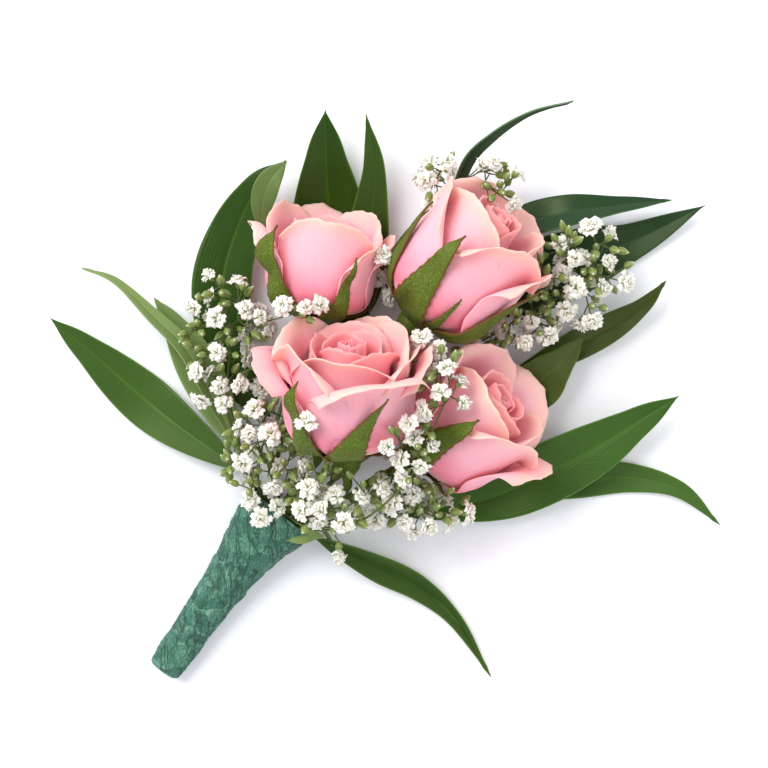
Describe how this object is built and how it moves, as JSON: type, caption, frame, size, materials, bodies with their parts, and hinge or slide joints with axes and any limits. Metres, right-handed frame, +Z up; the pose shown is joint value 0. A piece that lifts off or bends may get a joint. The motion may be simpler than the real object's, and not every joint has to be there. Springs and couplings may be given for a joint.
{
  "type": "boutonniere",
  "caption": "Small flower spray for a lapel: pink roses, pointed green leaves and fine white filler blooms on stems bound in teal floral tape.",
  "frame": {"origin": "on the surface it lies on, under the middle of the bounding box", "axes": "+Z up from the surface, the shortest extent; +X towards the right-hand leaves, the longest extent; the taped handle points towards -X and -Y"},
  "size_m": [0.1471, 0.1254, 0.0481],
  "materials": {
    "rose_petals": "satin",
    "rose_greens": "satin",
    "ruscus_leaves": "semi-gloss",
    "gypsophila": "matte",
    "floral_tape": "matte, crinkled"
  },
  "bodies": {
    "root": {"tape_wrap": "floral_tape", "rose_1_petals": "rose_petals", "rose_1_calyx_and_stem": "rose_greens", "rose_2_petals": "rose_petals", "rose_2_calyx_and_stem": "rose_greens", "rose_3_petals": "rose_petals", "rose_3_calyx_and_stem": "rose_greens", "rose_4_petals": "rose_petals", "rose_4_calyx_and_stem": "rose_greens", "leaf_sprig_1": "ruscus_leaves", "leaf_sprig_2": "ruscus_leaves", "leaf_sprig_3": "ruscus_leaves", "leaf_sprig_4": "ruscus_leaves", "leaf_sprig_5": "ruscus_leaves", "leaf_sprig_6": "ruscus_leaves", "gypsophila_spray_1": "gypsophila", "gypsophila_spray_2": "gypsophila", "gypsophila_spray_3": "gypsophila", "gypsophila_spray_4": "gypsophila", "gypsophila_spray_5": "gypsophila", "gypsophila_spray_6": "gypsophila", "gypsophila_spray_7": "gypsophila"}
  },
  "joints": []
}
